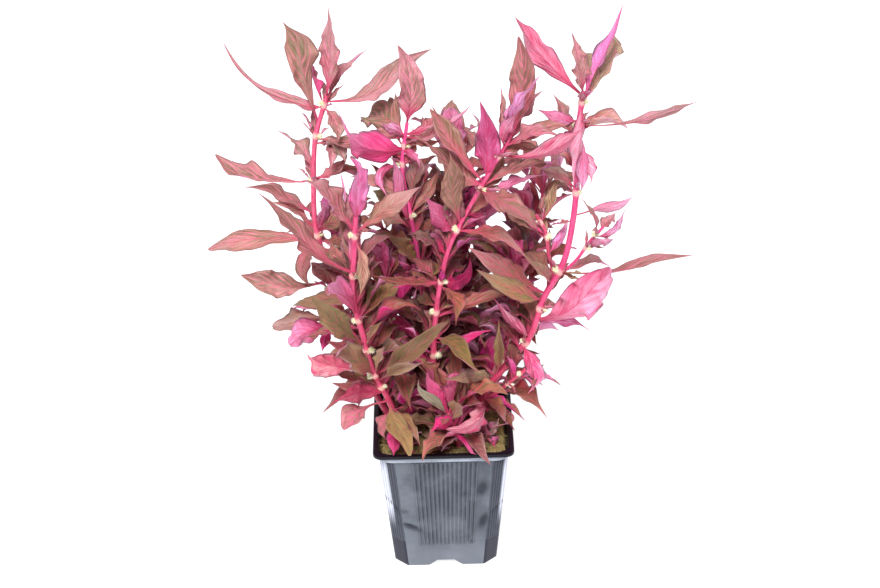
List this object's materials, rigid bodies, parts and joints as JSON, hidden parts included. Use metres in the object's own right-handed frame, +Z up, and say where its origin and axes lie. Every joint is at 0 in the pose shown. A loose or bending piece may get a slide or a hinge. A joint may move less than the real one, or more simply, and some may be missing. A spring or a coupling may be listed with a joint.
{
  "type": "potted alternanthera reineckii",
  "caption": "Red aquarium stem plant with opposite lance-shaped leaves and cream flower heads, growing in a square nursery pot of fibrous medium.",
  "frame": {"origin": "on the surface the pot stands on, under the middle of the whole plant's box, which is under the middle of the pot within 1 mm", "axes": "+Z up along the stems, +X to the right and +Y to the back as the plant is seen from the front"},
  "size_m": [0.3145, 0.2205, 0.3841],
  "materials": {
    "pot_plastic": "satin thin moulded plastic, dark grey, with fine upright ribs",
    "growing_medium": "matt matted fibres, olive brown, moist",
    "leafy_stem": "satin red-pink stem skin, with copper, olive and magenta leaves and cream flower heads",
    "leaf_copper": "thin matt leaf, copper brown above with a pink-red midrib and veins",
    "leaf_lilac": "thin satin leaf, lilac pink",
    "leaf_magenta": "thin satin leaf, hot magenta underside showing",
    "leaf_ochre": "thin matt leaf, yellowish tan above",
    "leaf_olive": "thin matt leaf, olive brown above with a dull red midrib",
    "leaf_pink": "thin satin leaf, pale pink underside showing",
    "leaf_plum": "thin satin leaf, deep plum in the plant's shade",
    "leaf_rose": "thin matt leaf, salmon rose above with brown patches"
  },
  "bodies": {
    "root": {"pot": "pot_plastic", "growing_medium": "growing_medium", "stem_1": "leafy_stem", "stem_2": "leafy_stem", "stem_3": "leafy_stem", "stem_4": "leafy_stem", "stem_5": "leafy_stem", "stem_6": "leafy_stem", "stem_7": "leafy_stem", "stem_8": "leafy_stem", "stem_9": "leafy_stem", "stem_10": "leafy_stem", "stem_11": "leafy_stem", "stem_12": "leafy_stem", "stem_13": "leafy_stem", "stem_14": "leafy_stem", "shoot_left": "leafy_stem", "shoot_right": "leafy_stem", "shoot_low": "leafy_stem", "leaf_front_yellow": "leaf_ochre", "leaf_front_pink": "leaf_pink", "leaf_middle_olive": "leaf_olive", "leaf_left_olive": "leaf_olive", "leaf_middle_right_olive": "leaf_olive", "leaf_low_left_pink": "leaf_pink", "leaf_low_left_dusty": "leaf_rose", "leaf_right_low_tan": "leaf_ochre", "leaf_left_long": "leaf_copper", "leaf_left_pink": "leaf_magenta", "leaf_left_spire": "leaf_pink", "leaf_left_orange": "leaf_copper", "leaf_middle_left_broad": "leaf_olive", "leaf_middle_upright": "leaf_olive", "leaf_middle_right_brown": "leaf_copper", "leaf_middle_right_rust": "leaf_copper", "leaf_right_pink_large": "leaf_pink", "leaf_right_low_pink": "leaf_pink", "leaf_middle_right_broad": "leaf_copper", "leaf_far_right_lower": "leaf_rose", "leaf_far_right_upper": "leaf_lilac", "leaf_right_pink_hanging": "leaf_pink", "leaf_top_right_pink": "leaf_pink", "leaf_top_right": "leaf_copper", "leaf_right_pink_broad": "leaf_pink", "leaf_top_right_broad": "leaf_copper", "leaf_top_middle_magenta": "leaf_magenta", "leaf_middle_broad": "leaf_copper", "leaf_middle_wine": "leaf_plum", "leaf_middle_left_magenta": "leaf_magenta", "leaf_top_middle": "leaf_rose", "leaf_top_middle_thin": "leaf_magenta", "leaf_middle_left_olive": "leaf_olive", "leaf_far_left_lower": "leaf_rose", "leaf_far_left_middle": "leaf_rose", "leaf_low_left_rose": "leaf_magenta", "leaf_far_left_upper": "leaf_rose", "leaf_top_left": "leaf_rose", "leaf_upper_left_broad": "leaf_copper", "leaf_upper_left_long": "leaf_rose", "leaf_upper_left_wavy": "leaf_copper"}
  },
  "joints": []
}
